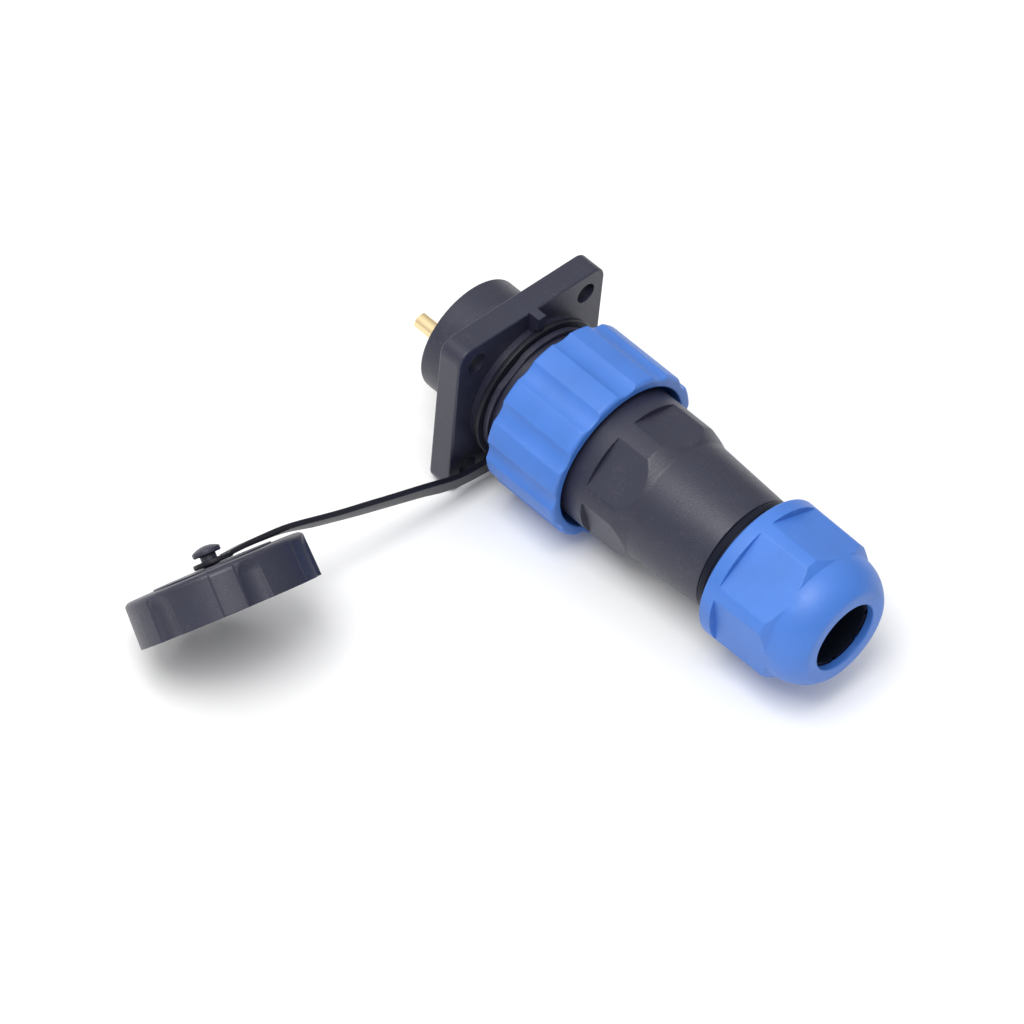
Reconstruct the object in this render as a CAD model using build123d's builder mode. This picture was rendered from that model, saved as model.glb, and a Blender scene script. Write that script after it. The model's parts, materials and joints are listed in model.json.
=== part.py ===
from build123d import *
import os
from math import asin, atan2, cos, degrees, hypot, radians, sin

# Waterproof circular power connector: a square-flange panel receptacle with its plug screwed on,
# and a protective cap on a moulded strap.
#
# The connector lies with its axis along X. The origin is the centre of the flange's panel side,
# +X runs through the plug to the cable gland, and +Z is up. A station is a place along X.
# All sizes are in millimetres and degrees.

# Clearances
turn_gap = 0.08          # radial, where one piece turns or slides in another
seat_gap = 0.03          # between pieces that are pressed or screwed together
end_gap = 0.15           # along the axis, on each side of a piece that is held but free to turn
free_gap = 0.3           # between pieces that pass each other

# Flange of the receptacle
flange_side = 31.2
flange_thickness = 4.4
flange_corner_r = 2.5
flange_edge_r = 0.35
mount_hole_pitch = 23.4
mount_hole_d = 3.6
index_rib_width = 1.6
index_rib_rise = 2.0

# Rear barrel of the receptacle, which goes through the panel
rear_barrel_r = 10.3
rear_barrel_length = 8.9
rear_barrel_edge_r = 0.4
rear_barrel_wall = 1.4
rear_bore_r = rear_barrel_r - rear_barrel_wall

# Front barrel of the receptacle, which takes the plug
mate_bore_r = 9.55
barrel_wall = 1.4
thread_height = 0.8
thread_flat_depth = 0.45
thread_flat_angle = 127.0
thread_collar_length = 1.0
barrel_length = 12.4
boss_length = 1.4
boss_step = 1.05
thread_core_r = mate_bore_r + barrel_wall
thread_major_r = thread_core_r + thread_height
thread_flat_distance = thread_major_r - thread_flat_depth
boss_r = thread_core_r + boss_step
insert_stop_r = 8.0
insert_stop_start = 0.7
insert_stop_length = 1.3
key_width = 1.6
key_depth = 0.9
key_length = 8.5
key_side_gap = 0.1

# Insert, lock ring and seal inside the receptacle
insert_nose_length = 0.6
insert_body_length = 5.9
insert_seal_section_r = 0.48
insert_seal_setback = 1.8
lock_ring_thickness = 1.6
lock_ring_bore_r = 6.9
lock_notch_width = 2.0
lock_notch_depth = 0.8

# Contacts: two pins in the receptacle and two sockets in the plug
contact_circle_r = 4.7
contact_angle = 167.0
pin_r = 1.25
pin_tip_round = 0.6
pin_reach = 9.4
contact_collar_r = 1.9
contact_collar_setback = 1.7
solder_cup_r = 1.35
solder_cup_bore_r = 0.9
solder_cup_depth = 4.5
solder_scoop_length = 2.6
solder_scoop_angle = -56.0
solder_scoop_offset = 0.3
pin_tail_length = 9.8
socket_r = 1.8
socket_depth_spare = 1.2
socket_slot_width = 0.4
socket_slot_length = 5.0
socket_tail_length = 6.5
socket_entry_wall = 1.2

# Front shell of the plug
mate_face_gap = 0.4
nose_wall = 1.95
nose_lip_length = 0.9
nose_lip_width = 0.9
nose_seal_section_r = 0.5
nose_seal_setback = 2.9
seal_groove_side_gap = 0.15
nut_thread_gap = 0.15
shoulder_gap = 0.4
shoulder_thickness = 1.7
neck_step = 0.9
tail_wall = 1.8
tail_thread_length = 6.8
plug_insert_ring_thickness = 2.0
nut_thread_root_r = thread_major_r + nut_thread_gap
nose_bore_r = mate_bore_r - nose_wall
nose_lip_r = nose_bore_r - nose_lip_width
tail_thread_r = nose_bore_r + tail_wall
neck_r = tail_thread_r + neck_step
shoulder_r = nut_thread_root_r - shoulder_gap

# Collar of the back shell, which the coupling nut's rear recess goes round
back_seal_thickness = 1.5
back_seal_width = 1.0
collar_wall = 1.7
back_seal_r = tail_thread_r + back_seal_width
collar_r = back_seal_r + collar_wall

# Coupling nut
nut_recess_gap = 0.9
nut_recess_wall = 2.05
nut_recess_r = collar_r + nut_recess_gap
nut_r = nut_recess_r + nut_recess_wall
nut_thread_length = 8.15
nut_lip_thickness = 2.1
nut_recess_depth = 4.65
nut_front_edge_r = 0.4
nut_rear_edge_r = 0.7
nut_flutes = 12
nut_flute_phase = 1.0
nut_flute_depth = 0.66
nut_flute_r = 3.9

# Back shell
collar_length = 14.1
collar_cone_length = 2.7
collar_edge_chamfer = 0.5
flats_setback = 7.8
flats_depth = 0.93
flats_angle = 77.5
back_barrel_length = 14.4
back_barrel_wall = 2.9
back_barrel_taper = 0.8
wire_space_rear_r = 7.3
wire_space_taper = 1.7
gland_thread_length = 9.4
gland_seat_width = 1.0
flats_distance = collar_r - flats_depth
wire_space_front_r = wire_space_rear_r + wire_space_taper
back_barrel_rear_r = wire_space_rear_r + back_barrel_wall
back_barrel_front_r = back_barrel_rear_r + back_barrel_taper
gland_thread_r = back_barrel_rear_r - gland_seat_width

# Gland nut, seal and clamp
gasket_stand_out = 0.25
gasket_length = 2.5
gasket_edge_r = 0.8
gland_thread_height = 0.7
gland_wall = 2.7
gland_nut_length = 18.9
gland_nut_taper = 0.18
gland_collar_length = 2.4
gland_body_length = 11.9
gland_shoulder_length = 1.2
gland_shoulder_drop = 1.17
gland_flat_depth = 1.2
gland_flats_taper = 0.2
gland_flats_angle = 69.4
gland_dome_bulge = 0.75
gland_edge_r = 0.6
gland_mouth_r = 6.04
gland_mouth_length = 1.3
gland_lip_width = 2.26
gland_hollow_step = 0.6
clamp_flange_thickness = 1.0
clamp_side_gap = 0.35
gasket_r = back_barrel_rear_r + gasket_stand_out
gland_thread_root_r = gland_thread_r + gland_thread_height
gland_nut_front_r = gland_thread_root_r + gland_wall
gland_nut_rear_r = gland_nut_front_r - gland_nut_taper
gland_flats_front = gland_nut_front_r - gland_flat_depth
gland_flats_rear = gland_flats_front - gland_flats_taper
gland_dome_base_r = gland_nut_rear_r - gland_shoulder_drop
gland_end_r = gland_mouth_r + gland_lip_width
gland_hollow_r = gland_thread_root_r - gland_hollow_step
clamp_flange_r = gland_hollow_r - clamp_side_gap
clamp_sleeve_length = 4.5
clamp_wall = 0.9
clamp_fingers = 8
clamp_slit_width = 0.8
cable_seal_bore_r = 5.6

# Cap, in its own frame: up is out of its top face, through the button
cap_top_centre = (2.5, -63.87, 0.96)
cap_axis = (-0.779, 0.152, 0.609)
cap_front = (0.4485, -0.5004, 0.7406)
cap_thread_gap = 0.2
cap_wall_thickness = 2.9
cap_draft = 0.2
cap_land_inset = 0.15
cap_height = 7.3
cap_edge_r = 1.15
cap_grips = 6
cap_pad_angle = 6.25
cap_pad_span = 15.5
cap_groove_angle = 22.3
cap_groove_r = 3.5
cap_groove_depth = 0.9
cap_groove_setback = 0.8
cap_roof = 1.6
cap_disc_r = 9.6
cap_disc_rise = 0.3
cap_seal_thickness = 1.2
cap_seal_width = 3.15
stem_r = 1.2
stem_length = 1.8
button_lip = 1.05
button_thickness = 1.4
button_rim = 0.6
cap_bore_r = thread_major_r + cap_thread_gap
cap_rim_r = cap_bore_r + cap_wall_thickness
cap_top_r = cap_rim_r - cap_draft
cap_seal_bore_r = cap_bore_r - cap_seal_width
button_r = stem_r + button_lip

# Strap: a ring round the receptacle, a flat tail and an eye that hangs loose on the cap's stem
strap_thickness = 1.0
strap_width = 4.1
strap_ring_width = 1.77
strap_eye_thickness = 0.8
strap_eye_slack = 0.5
strap_eye_wall = 1.42
strap_eye_hole_r = stem_r + turn_gap + strap_eye_slack
strap_eye_r = strap_eye_hole_r + strap_eye_wall
strap_root_reach = 8.0
strap_root_drop = 10.95
# Centre of the strap, then how far its upper edge leans towards the cable end
strap_route = [
    ((6.36, -11.5, -11.15), 17.0),
    ((6.3, -17.0, -10.15), 21.0),
    ((5.95, -23.0, -8.05), 24.0),
    ((5.05, -33.0, -5.1), 26.0),
    ((4.05, -42.0, -2.5), 30.0),
    ((3.2, -50.0, 0.2), 35.0),
    ((2.5, -57.3, 1.3), 37.5),
]

# Stations along the axis, worked out from the sizes above
flange_front = flange_thickness
boss_front = flange_front + boss_length
strap_ring_start = boss_front + end_gap / 2
strap_ring_end = strap_ring_start + strap_thickness
thread_collar_start = strap_ring_end + end_gap / 2
barrel_end = flange_front + barrel_length
insert_stop_end = insert_stop_start + insert_stop_length
insert_front = insert_stop_end + insert_nose_length
insert_rear = insert_stop_start - insert_body_length
lock_ring_rear = insert_rear - lock_ring_thickness
collar_rear = insert_rear + contact_collar_setback
pin_tip = insert_front + pin_reach
pin_tail = insert_rear - pin_tail_length
nose_front = insert_front + mate_face_gap
nose_lip_end = nose_front + nose_lip_length
shoulder_front = barrel_end + free_gap
shoulder_rear = shoulder_front + shoulder_thickness
nut_lip_start = shoulder_rear + end_gap
nut_lip_end = nut_lip_start + nut_lip_thickness
nut_front = nut_lip_start - nut_thread_length
nut_rear = nut_lip_end + nut_recess_depth
back_shell_front = nut_lip_end + end_gap
tail_thread_end = back_shell_front + tail_thread_length
plug_insert_rear = shoulder_rear - 2 * seat_gap
plug_insert_ring_rear = plug_insert_rear + plug_insert_ring_thickness
socket_front = nose_front + socket_entry_wall
socket_end = plug_insert_ring_rear + socket_tail_length
cone_start = back_shell_front + collar_length
cone_end = cone_start + collar_cone_length
back_barrel_end = cone_end + back_barrel_length
gasket_end = back_barrel_end + seat_gap + gasket_length
gland_thread_end = back_barrel_end + gland_thread_length
gland_front = gasket_end + end_gap
gland_end = gland_front + gland_nut_length
gland_body_end = gland_front + gland_body_length
gland_dome_start = gland_body_end + gland_shoulder_length
gland_mouth_start = gland_end - gland_mouth_length
clamp_flange_start = gland_thread_end + seat_gap
clamp_flange_end = clamp_flange_start + clamp_flange_thickness

cap_frame = Plane(origin=cap_top_centre, x_dir=cap_front, z_dir=cap_axis)
cap_eye_height = cap_disc_rise + end_gap + strap_eye_thickness / 2


def across(station, y=0.0, z=0.0):
    """Plane square to the axis, with its own x along +Y and its own y along +Z."""
    return Plane(origin=(station, y, z), x_dir=(0, 1, 0), z_dir=(1, 0, 0))


def band(start, end, radius, mode=Mode.ADD, centre=(0.0, 0.0)):
    """Add or cut a round bar along the axis, from one station to another."""
    with Locations(across(start, *centre)):
        Cylinder(radius, end - start, align=(Align.CENTER, Align.CENTER, Align.MIN), mode=mode)


def ring(start, end, outer_r, inner_r, mode=Mode.ADD):
    """Add or cut a ring about the axis, from one station to another."""
    with BuildSketch(across(start)) as section:
        Circle(outer_r)
        Circle(inner_r, mode=Mode.SUBTRACT)
    extrude(section.sketch, amount=end - start, mode=mode)


def turned(outline, mode=Mode.ADD):
    """Add or cut the shape that an outline of (station, radius) points sweeps about the axis."""
    with BuildSketch(Plane.XZ) as section:
        with BuildLine():
            Polyline(*outline, close=True)
        make_face()
    revolve(section.sketch, axis=Axis.X, mode=mode)


def round_seal(station, middle_r, section_r):
    """Add a seal of round section about the axis."""
    with BuildSketch(Plane.XZ) as section:
        with Locations((station, middle_r)):
            Circle(section_r)
    revolve(section.sketch, axis=Axis.X)


def notches(start, end, outer_r, depth):
    """Cut two spanner notches into the outer side of a ring's bore, left and right."""
    with BuildSketch(across(start)) as section:
        with PolarLocations(outer_r, 2):
            Rectangle(2 * depth, lock_notch_width)
    extrude(section.sketch, amount=end - start, mode=Mode.SUBTRACT)


def contact_place(turn):
    """Where a contact's axis crosses a plane square to the connector's axis."""
    angle = radians(contact_angle + turn)
    return (contact_circle_r * cos(angle), contact_circle_r * sin(angle))


def save(builder, name):
    """Label a finished piece and write it to its own file."""
    builder.part.label = name
    export_step(builder.part, f"parts/{name}.step")


os.makedirs("parts", exist_ok=True)

# Receptacle shell: square flange, rear barrel, and front barrel with the start of its thread
with BuildPart() as receptacle_shell:
    with BuildSketch(across(0)):
        RectangleRounded(flange_side, flange_side, flange_corner_r)
    extrude(amount=flange_thickness)
    for side in receptacle_shell.faces().filter_by(Axis.X):
        fillet(side.outer_wire().edges(), flange_edge_r)
    band(-rear_barrel_length, 0, rear_barrel_r)
    fillet(receptacle_shell.edges().group_by(Axis.X)[0], rear_barrel_edge_r)
    band(0, boss_front, boss_r)
    band(0, barrel_end, thread_core_r)
    with BuildSketch(across(thread_collar_start)):
        Circle(thread_major_r)
        Rectangle(2 * thread_flat_distance, 3 * thread_major_r, rotation=thread_flat_angle, mode=Mode.INTERSECT)
    extrude(amount=thread_collar_length)
    band(-rear_barrel_length, insert_stop_start, rear_bore_r, Mode.SUBTRACT)
    band(insert_stop_start, insert_stop_end, insert_stop_r, Mode.SUBTRACT)
    band(insert_stop_end, barrel_end, mate_bore_r, Mode.SUBTRACT)
    # Key on the top of the front bore
    with BuildSketch(across(insert_stop_end)):
        with Locations((0, mate_bore_r)):
            Rectangle(key_width, 2 * key_depth)
    extrude(amount=key_length)
    # Index rib on the front of the flange, from its top edge down to the strap's ring, and lower
    # behind that ring, where it runs into the boss
    rib_step = thread_core_r + turn_gap + strap_ring_width + free_gap
    rib_base = flange_front - flange_edge_r
    with BuildSketch(across(rib_base)):
        with Locations((0, (rib_step + flange_side / 2) / 2)):
            Rectangle(index_rib_width, flange_side / 2 - rib_step)
    extrude(amount=index_rib_rise + flange_edge_r)
    with BuildSketch(across(rib_base)):
        with Locations((0, (thread_core_r + rib_step) / 2)):
            Rectangle(index_rib_width, rib_step - thread_core_r)
    extrude(amount=boss_front - rib_base)
    with BuildSketch(across(0)):
        with GridLocations(mount_hole_pitch, mount_hole_pitch, 2, 2):
            Circle(mount_hole_d / 2)
    extrude(amount=flange_thickness, mode=Mode.SUBTRACT)
save(receptacle_shell, "receptacle_shell")

# Insulator that carries the pins, pushed in from the rear against the stop
with BuildPart() as receptacle_insert:
    band(insert_rear, insert_stop_start - seat_gap, rear_bore_r - seat_gap)
    band(insert_rear, insert_front, insert_stop_r - seat_gap)
    for turn in (0, 180):
        place = contact_place(turn)
        band(insert_rear, insert_front, solder_cup_r + seat_gap, Mode.SUBTRACT, place)
        band(collar_rear, insert_front, contact_collar_r + seat_gap, Mode.SUBTRACT, place)
    seal_station = insert_stop_start - insert_seal_setback
    seal_middle_r = rear_bore_r - seat_gap / 2 - insert_seal_section_r
    ring(
        seal_station - insert_seal_section_r - seal_groove_side_gap,
        seal_station + insert_seal_section_r + seal_groove_side_gap,
        rear_bore_r + 1,
        seal_middle_r - insert_seal_section_r - seat_gap / 2,
        Mode.SUBTRACT,
    )
save(receptacle_insert, "receptacle_insert")

with BuildPart() as insert_seal:
    round_seal(seal_station, seal_middle_r, insert_seal_section_r)
save(insert_seal, "insert_seal")

# Threaded ring that locks the insert, with two spanner notches in its bore
with BuildPart() as insert_lock_ring:
    ring(lock_ring_rear, insert_rear - seat_gap, rear_bore_r - seat_gap, lock_ring_bore_r)
    notches(lock_ring_rear, insert_rear, lock_ring_bore_r, lock_notch_depth)
save(insert_lock_ring, "insert_lock_ring")

# Gold pins: a solder cup at the rear, a collar in the insert and a round tip in front
for letter, turn in (("a", 0), ("b", 180)):
    place = contact_place(turn)
    with BuildPart() as receptacle_pin:
        band(pin_tail, insert_front, solder_cup_r, centre=place)
        band(collar_rear + seat_gap, insert_front - seat_gap, contact_collar_r, centre=place)
        band(insert_front - seat_gap, pin_tip, pin_r, centre=place)
        fillet(receptacle_pin.edges().group_by(Axis.X)[-1], pin_tip_round)
        band(pin_tail, pin_tail + solder_cup_depth, solder_cup_bore_r, Mode.SUBTRACT, place)
        # The cup is scooped open on its lower side to take the wire
        with Locations(across(pin_tail, *place)):
            with PolarLocations(solder_scoop_offset, 1, start_angle=solder_scoop_angle):
                Box(
                    solder_cup_r,
                    2 * solder_cup_r,
                    2 * solder_scoop_length,
                    align=(Align.MIN, Align.CENTER, Align.CENTER),
                    mode=Mode.SUBTRACT,
                )
    save(receptacle_pin, f"receptacle_pin_{letter}")

# Front shell of the plug: keyed nose, shoulder that holds the nut, and tail thread
with BuildPart() as front_shell:
    band(nose_front, shoulder_front, mate_bore_r - turn_gap)
    band(shoulder_front, shoulder_rear, shoulder_r)
    band(shoulder_rear, back_shell_front, neck_r)
    band(back_shell_front, tail_thread_end, tail_thread_r)
    fillet(front_shell.edges().group_by(Axis.X)[0], 0.4)
    band(nose_front, nose_lip_end, nose_lip_r, Mode.SUBTRACT)
    band(nose_lip_end, tail_thread_end, nose_bore_r, Mode.SUBTRACT)
    key_slot_depth = key_depth + key_side_gap
    with BuildSketch(across(nose_front)):
        with Locations((0, mate_bore_r)):
            Rectangle(key_width + 2 * key_side_gap, 2 * key_slot_depth)
    extrude(amount=insert_stop_end + key_length + free_gap - nose_front, mode=Mode.SUBTRACT)
    nose_seal_station = shoulder_front - nose_seal_setback
    nose_seal_middle_r = mate_bore_r - seat_gap - nose_seal_section_r
    ring(
        nose_seal_station - nose_seal_section_r - seal_groove_side_gap,
        nose_seal_station + nose_seal_section_r + seal_groove_side_gap,
        mate_bore_r + 1,
        nose_seal_middle_r - nose_seal_section_r - seat_gap / 2,
        Mode.SUBTRACT,
    )
save(front_shell, "front_shell")

with BuildPart() as nose_seal:
    round_seal(nose_seal_station, nose_seal_middle_r, nose_seal_section_r)
save(nose_seal, "nose_seal")

# Insulator that carries the sockets, pushed in from the rear against the nose's lip
with BuildPart() as plug_insert:
    band(nose_lip_end + seat_gap, plug_insert_rear, nose_bore_r - seat_gap)
    band(nose_front, plug_insert_rear, nose_lip_r - seat_gap)
    for turn in (0, 180):
        place = contact_place(turn)
        band(nose_front, socket_front, pin_r + turn_gap, Mode.SUBTRACT, place)
        band(socket_front - seat_gap, plug_insert_rear, socket_r + seat_gap, Mode.SUBTRACT, place)
save(plug_insert, "plug_insert")

with BuildPart() as plug_insert_ring:
    ring(plug_insert_rear + seat_gap, plug_insert_ring_rear, nose_bore_r - seat_gap, nose_lip_r)
save(plug_insert_ring, "plug_insert_ring")

# Gold sockets: slit at the mouth so that they grip the pins, with a solder cup at the rear
for letter, turn in (("a", 0), ("b", 180)):
    place = contact_place(turn)
    with BuildPart() as plug_socket:
        band(socket_front, plug_insert_rear, socket_r, centre=place)
        band(plug_insert_rear, socket_end, solder_cup_r, centre=place)
        band(socket_front, pin_tip + socket_depth_spare, pin_r + turn_gap, Mode.SUBTRACT, place)
        band(socket_end - solder_cup_depth, socket_end, solder_cup_bore_r, Mode.SUBTRACT, place)
        with Locations(across(socket_front, *place)):
            Box(
                3 * socket_r,
                socket_slot_width,
                2 * socket_slot_length,
                mode=Mode.SUBTRACT,
            )
    save(plug_socket, f"plug_socket_{letter}")

# Coupling nut: shallow round flutes from end to end, with lands as wide between them
with BuildPart() as coupling_nut:
    with BuildSketch(Plane.XZ):
        with BuildLine():
            Polyline((nut_front, 0), (nut_front, nut_r), (nut_rear, nut_r), (nut_rear, 0), close=True)
        make_face()
        fillet(vertices().group_by(Axis.Y)[-1].sort_by(Axis.X)[0], nut_front_edge_r)
        fillet(vertices().group_by(Axis.Y)[-1].sort_by(Axis.X)[-1], nut_rear_edge_r)
    revolve(axis=Axis.X)
    flute_centre_r = nut_r - nut_flute_depth + nut_flute_r
    with Locations(across(nut_front)):
        with PolarLocations(flute_centre_r, nut_flutes, start_angle=nut_flute_phase):
            Cylinder(
                nut_flute_r,
                nut_rear - nut_front,
                align=(Align.CENTER, Align.CENTER, Align.MIN),
                mode=Mode.SUBTRACT,
            )
    band(nut_front, nut_lip_start, nut_thread_root_r, Mode.SUBTRACT)
    band(nut_lip_start, nut_lip_end, neck_r + turn_gap, Mode.SUBTRACT)
    band(nut_lip_end, nut_rear, nut_recess_r, Mode.SUBTRACT)
save(coupling_nut, "coupling_nut")

# Back shell: collar with six wrench flats, tapering barrel, and the gland's thread
with BuildPart() as back_shell:
    turned([
        (back_shell_front, 0),
        (back_shell_front, collar_r - collar_edge_chamfer),
        (back_shell_front + collar_edge_chamfer, collar_r),
        (cone_start, collar_r),
        (cone_end, back_barrel_front_r),
        (back_barrel_end, back_barrel_rear_r),
        (back_barrel_end, gland_thread_r),
        (gland_thread_end, gland_thread_r),
        (gland_thread_end, 0),
    ])
    with BuildSketch(across(back_shell_front + flats_setback)):
        Circle(collar_r + 1)
        RegularPolygon(
            flats_distance,
            6,
            major_radius=False,
            rotation=flats_angle - 30,
            mode=Mode.SUBTRACT,
        )
    extrude(amount=cone_end - back_shell_front - flats_setback, mode=Mode.SUBTRACT)
    band(back_shell_front, back_shell_front + back_seal_thickness, back_seal_r, Mode.SUBTRACT)
    turned(
        [
            (back_shell_front, 0),
            (back_shell_front, tail_thread_r + seat_gap),
            (tail_thread_end + free_gap, tail_thread_r + seat_gap),
            (tail_thread_end + free_gap, wire_space_front_r),
            (back_barrel_end, wire_space_rear_r),
            (gland_thread_end, wire_space_rear_r),
            (gland_thread_end, 0),
        ],
        Mode.SUBTRACT,
    )
save(back_shell, "back_shell")

with BuildPart() as back_shell_seal:
    ring(
        back_shell_front + seat_gap,
        back_shell_front + back_seal_thickness - seat_gap,
        back_seal_r - seat_gap,
        tail_thread_r + seat_gap,
    )
save(back_shell_seal, "back_shell_seal")

# Soft ring between the back shell's barrel and the gland nut
with BuildPart() as gland_gasket:
    ring(back_barrel_end + seat_gap, gasket_end, gasket_r, gland_thread_r + seat_gap)
    fillet(gland_gasket.edges().filter_by(GeomType.CIRCLE).sort_by(SortBy.RADIUS)[-2:], gasket_edge_r)
save(gland_gasket, "gland_gasket")

# Gland nut: round collar, six wrench flats with a little draft, and a domed end
with BuildPart() as gland_nut:
    with BuildSketch(Plane.XZ):
        with BuildLine():
            Line((gland_front, 0), (gland_front, gland_nut_front_r - gland_edge_r))
            Line((gland_front, gland_nut_front_r - gland_edge_r), (gland_front + gland_edge_r, gland_nut_front_r))
            Line((gland_front + gland_edge_r, gland_nut_front_r), (gland_body_end, gland_nut_rear_r))
            Line((gland_body_end, gland_nut_rear_r), (gland_dome_start, gland_dome_base_r))
            dome_start = (gland_dome_start, gland_dome_base_r)
            dome_end = (gland_end, gland_end_r)
            chord = (dome_end[0] - dome_start[0], dome_end[1] - dome_start[1])
            chord_length = hypot(*chord)
            dome_middle = (
                (dome_start[0] + dome_end[0]) / 2 - gland_dome_bulge * chord[1] / chord_length,
                (dome_start[1] + dome_end[1]) / 2 + gland_dome_bulge * chord[0] / chord_length,
            )
            ThreePointArc(dome_start, dome_middle, dome_end)
            Line(dome_end, (gland_end, 0))
            Line((gland_end, 0), (gland_front, 0))
        make_face()
    revolve(axis=Axis.X)
    # Each flat is planed away by a block that leans with the draft
    flats_length = gland_dome_start - gland_front - gland_collar_length
    draft = degrees(atan2(gland_flats_front - gland_flats_rear, flats_length))
    for turn in range(0, 360, 60):
        angle = radians(gland_flats_angle + turn)
        outward = Vector(0, cos(angle), sin(angle))
        foot = Vector(gland_front + gland_collar_length, 0, 0) + outward * gland_flats_front
        flat_plane = Plane(origin=foot, x_dir=(1, 0, 0), z_dir=outward).rotated((0, draft, 0))
        with Locations(flat_plane):
            Box(
                2 * flats_length,
                2 * gland_nut_front_r,
                gland_nut_front_r,
                align=(Align.MIN, Align.CENTER, Align.MIN),
                mode=Mode.SUBTRACT,
            )
    turned(
        [
            (gland_front, 0),
            (gland_front, gland_thread_root_r),
            (clamp_flange_end + free_gap, gland_thread_root_r),
            (clamp_flange_end + free_gap, gland_hollow_r),
            (gland_dome_start - 2 * gland_shoulder_length, gland_hollow_r),
            (gland_mouth_start, gland_mouth_r + clamp_wall),
            (gland_mouth_start, gland_mouth_r),
            (gland_end, gland_mouth_r),
            (gland_end, 0),
        ],
        Mode.SUBTRACT,
    )
save(gland_nut, "gland_nut")

# Clamp: a sleeve and flange on the end of the back shell, with fingers that the dome closes
finger_taper_start = gland_dome_start - 2 * gland_shoulder_length - free_gap
finger_end = gland_mouth_start - free_gap
finger_r = gland_hollow_r - free_gap
with BuildPart() as cable_clamp:
    turned([
        (gland_thread_end - clamp_sleeve_length, 0),
        (gland_thread_end - clamp_sleeve_length, wire_space_rear_r - turn_gap),
        (clamp_flange_start, wire_space_rear_r - turn_gap),
        (clamp_flange_start, clamp_flange_r),
        (finger_taper_start, clamp_flange_r),
        (finger_end, gland_mouth_r + clamp_wall),
        (finger_end, 0),
    ])
    turned(
        [
            (gland_thread_end - clamp_sleeve_length, 0),
            (gland_thread_end - clamp_sleeve_length, wire_space_rear_r - turn_gap - clamp_wall),
            (finger_taper_start, wire_space_rear_r - turn_gap - clamp_wall),
            (finger_end, gland_mouth_r - clamp_wall / 4),
            (finger_end, 0),
        ],
        Mode.SUBTRACT,
    )
    with BuildSketch(across(clamp_flange_end)):
        with PolarLocations(0, clamp_fingers):
            with Locations((clamp_flange_r, 0)):
                Rectangle(2 * (clamp_flange_r - gland_mouth_r + 2 * clamp_wall), clamp_slit_width)
    extrude(amount=finger_end - clamp_flange_end, mode=Mode.SUBTRACT)
save(cable_clamp, "cable_clamp")

# Soft seal that the clamp squeezes onto the cable
with BuildPart() as cable_seal:
    turned([
        (gland_thread_end - clamp_sleeve_length, cable_seal_bore_r),
        (gland_thread_end - clamp_sleeve_length, wire_space_rear_r - turn_gap - clamp_wall - seat_gap),
        (finger_taper_start, wire_space_rear_r - turn_gap - clamp_wall - seat_gap),
        (finger_end, gland_mouth_r - clamp_wall / 4 - seat_gap),
        (finger_end, cable_seal_bore_r),
    ])
save(cable_seal, "cable_seal")

# Cap with six grips, a raised disc and the button that holds the strap
cap_up = Axis(cap_top_centre, cap_axis)


def cap_section(angle):
    """Plane through the cap's axis, with its own x outwards at an angle and its own y up."""
    outward = cap_frame.x_dir * cos(radians(angle)) + cap_frame.y_dir * sin(radians(angle))
    return Plane(origin=cap_top_centre, x_dir=outward, z_dir=outward.cross(cap_frame.z_dir))


def cap_wall(inset, angle, arc):
    """Add a turn of the cap's body, which widens to its rim and has a rounded top edge."""
    rim = (cap_rim_r - inset, -cap_height)
    top = (cap_top_r - inset, 0)
    with BuildSketch(cap_section(angle)) as section:
        with BuildLine():
            Polyline((0, 0), (0, -cap_height), rim, top, close=True)
        make_face()
        fillet(section.vertices().group_by(Axis.Y)[-1].sort_by(Axis.X)[-1], cap_edge_r)
    revolve(section.sketch, axis=cap_up, revolution_arc=arc)


groove_centre_r = cap_rim_r - cap_groove_depth + cap_groove_r
groove_length = cap_height - cap_groove_setback - cap_groove_r / 2
with BuildPart() as cap:
    cap_wall(cap_land_inset, 0, 360)
    for turn in range(0, 360, 360 // cap_grips):
        cap_wall(0, cap_pad_angle - cap_pad_span / 2 + turn, cap_pad_span)
    with Locations(cap_frame.offset(-cap_height)):
        with PolarLocations(groove_centre_r, cap_grips, start_angle=cap_groove_angle):
            Cylinder(
                cap_groove_r,
                groove_length,
                align=(Align.CENTER, Align.CENTER, Align.MIN),
                mode=Mode.SUBTRACT,
            )
    with Locations(cap_frame.offset(groove_length - cap_height)):
        with PolarLocations(groove_centre_r, cap_grips, start_angle=cap_groove_angle):
            Sphere(cap_groove_r, mode=Mode.SUBTRACT)
    with BuildSketch(cap_frame):
        Circle(cap_disc_r)
    extrude(amount=cap_disc_rise)
    with BuildSketch(cap_frame.offset(-cap_height)):
        Circle(cap_bore_r)
    extrude(amount=cap_height - cap_roof, mode=Mode.SUBTRACT)
    # Stem and domed button
    stem_top = cap_disc_rise + stem_length
    rim_top = stem_top + button_rim
    dome_top = stem_top + button_thickness
    dome_rise = button_thickness - button_rim
    dome_r = (button_r**2 + dome_rise**2) / (2 * dome_rise)
    half = asin(button_r / dome_r) / 2
    dome_middle = (dome_r * sin(half), dome_top - dome_r * (1 - cos(half)))
    with BuildSketch(cap_section(0)):
        with BuildLine():
            Polyline((0, 0), (stem_r, 0), (stem_r, stem_top), (button_r, stem_top), (button_r, rim_top))
            ThreePointArc((button_r, rim_top), dome_middle, (0, dome_top))
            Line((0, dome_top), (0, 0))
        make_face()
    revolve(axis=cap_up)
save(cap, "cap")

with BuildPart() as cap_seal:
    with BuildSketch(cap_frame.offset(-cap_roof - seat_gap)):
        Circle(cap_bore_r - seat_gap)
        Circle(cap_seal_bore_r, mode=Mode.SUBTRACT)
    extrude(amount=-cap_seal_thickness)
save(cap_seal, "cap_seal")

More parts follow.
